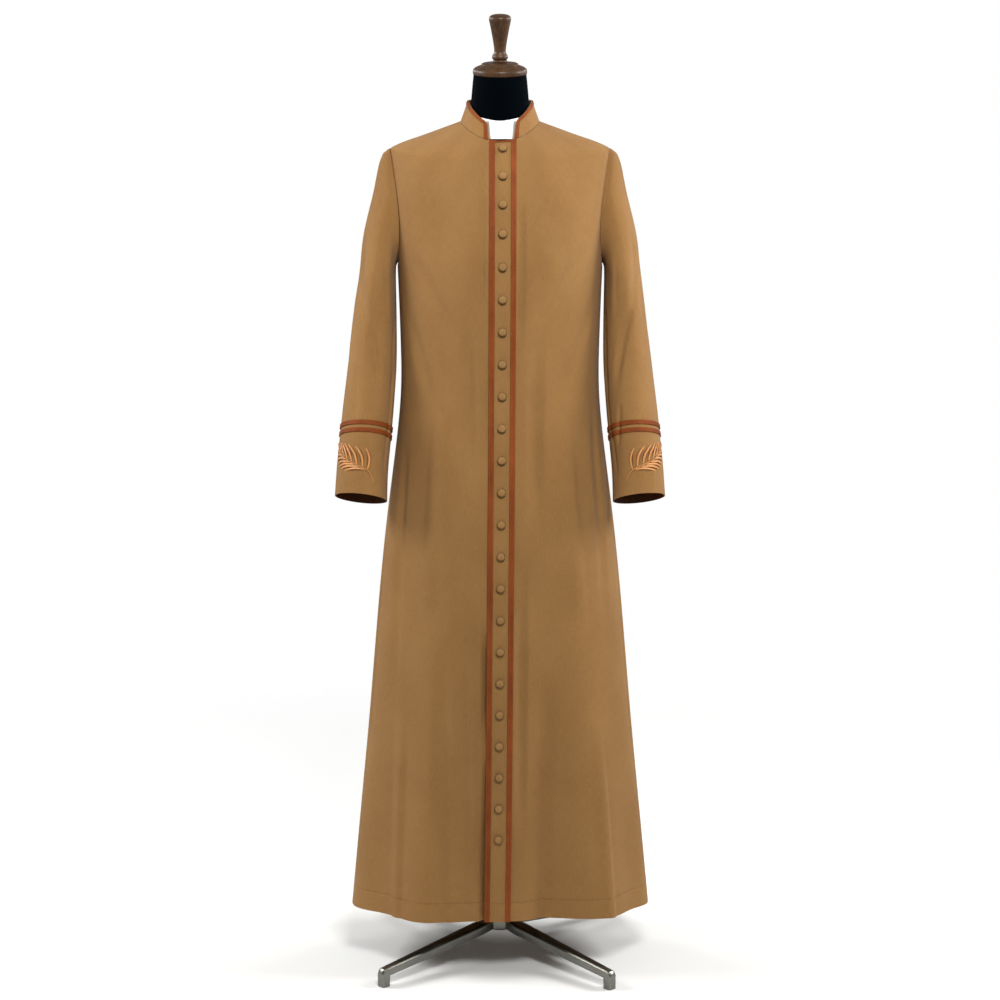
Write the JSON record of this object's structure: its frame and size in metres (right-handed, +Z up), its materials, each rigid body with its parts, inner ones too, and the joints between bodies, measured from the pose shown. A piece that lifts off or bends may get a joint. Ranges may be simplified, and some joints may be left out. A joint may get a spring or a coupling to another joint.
{
  "type": "cassock on dress form",
  "caption": "Full-length tan cassock with buttoned front placket, stand collar and banded cuffs, worn on a limbless dress form with a finial and metal base.",
  "frame": {"origin": "on the floor, at the centre of the base", "axes": "+Z up, the garment's front faces -Y, +X is the wearer's left"},
  "size_m": [0.598, 0.443, 1.7406],
  "materials": {
    "cassock_cloth": "plain woven suiting, matt",
    "trim_russet": "folded satin-weave trim, low sheen",
    "collar_insert": "smooth white",
    "form_jersey": "fine black jersey",
    "wood": "satin lacquer",
    "metal": "polished"
  },
  "bodies": {
    "root": {"front_left": "cassock_cloth", "front_right": "cassock_cloth", "back": "cassock_cloth", "placket": "cassock_cloth", "collar": "cassock_cloth", "sleeve_left": "cassock_cloth", "sleeve_right": "cassock_cloth", "cuff_left": "cassock_cloth", "cuff_right": "cassock_cloth", "button_01": "cassock_cloth", "button_02": "cassock_cloth", "button_03": "cassock_cloth", "button_04": "cassock_cloth", "button_05": "cassock_cloth", "button_06": "cassock_cloth", "button_07": "cassock_cloth", "button_08": "cassock_cloth", "button_09": "cassock_cloth", "button_10": "cassock_cloth", "button_11": "cassock_cloth", "button_12": "cassock_cloth", "button_13": "cassock_cloth", "button_14": "cassock_cloth", "button_15": "cassock_cloth", "button_16": "cassock_cloth", "button_17": "cassock_cloth", "button_18": "cassock_cloth", "button_19": "cassock_cloth", "button_20": "cassock_cloth", "button_21": "cassock_cloth", "button_22": "cassock_cloth", "button_23": "cassock_cloth", "front_trim_right": "trim_russet", "front_trim_left": "trim_russet", "placket_top": "trim_russet", "collar_trim": "trim_russet", "cuff_trim_upper_left": "trim_russet", "cuff_trim_upper_right": "trim_russet", "cuff_trim_lower_left": "trim_russet", "cuff_trim_lower_right": "trim_russet", "collar_tab": "collar_insert", "form_torso": "form_jersey", "neck_cap": "wood", "finial": "wood", "pole": "metal", "base_hub": "metal", "leg_1": "metal", "leg_2": "metal", "leg_3": "metal", "leg_4": "metal"}
  },
  "joints": []
}
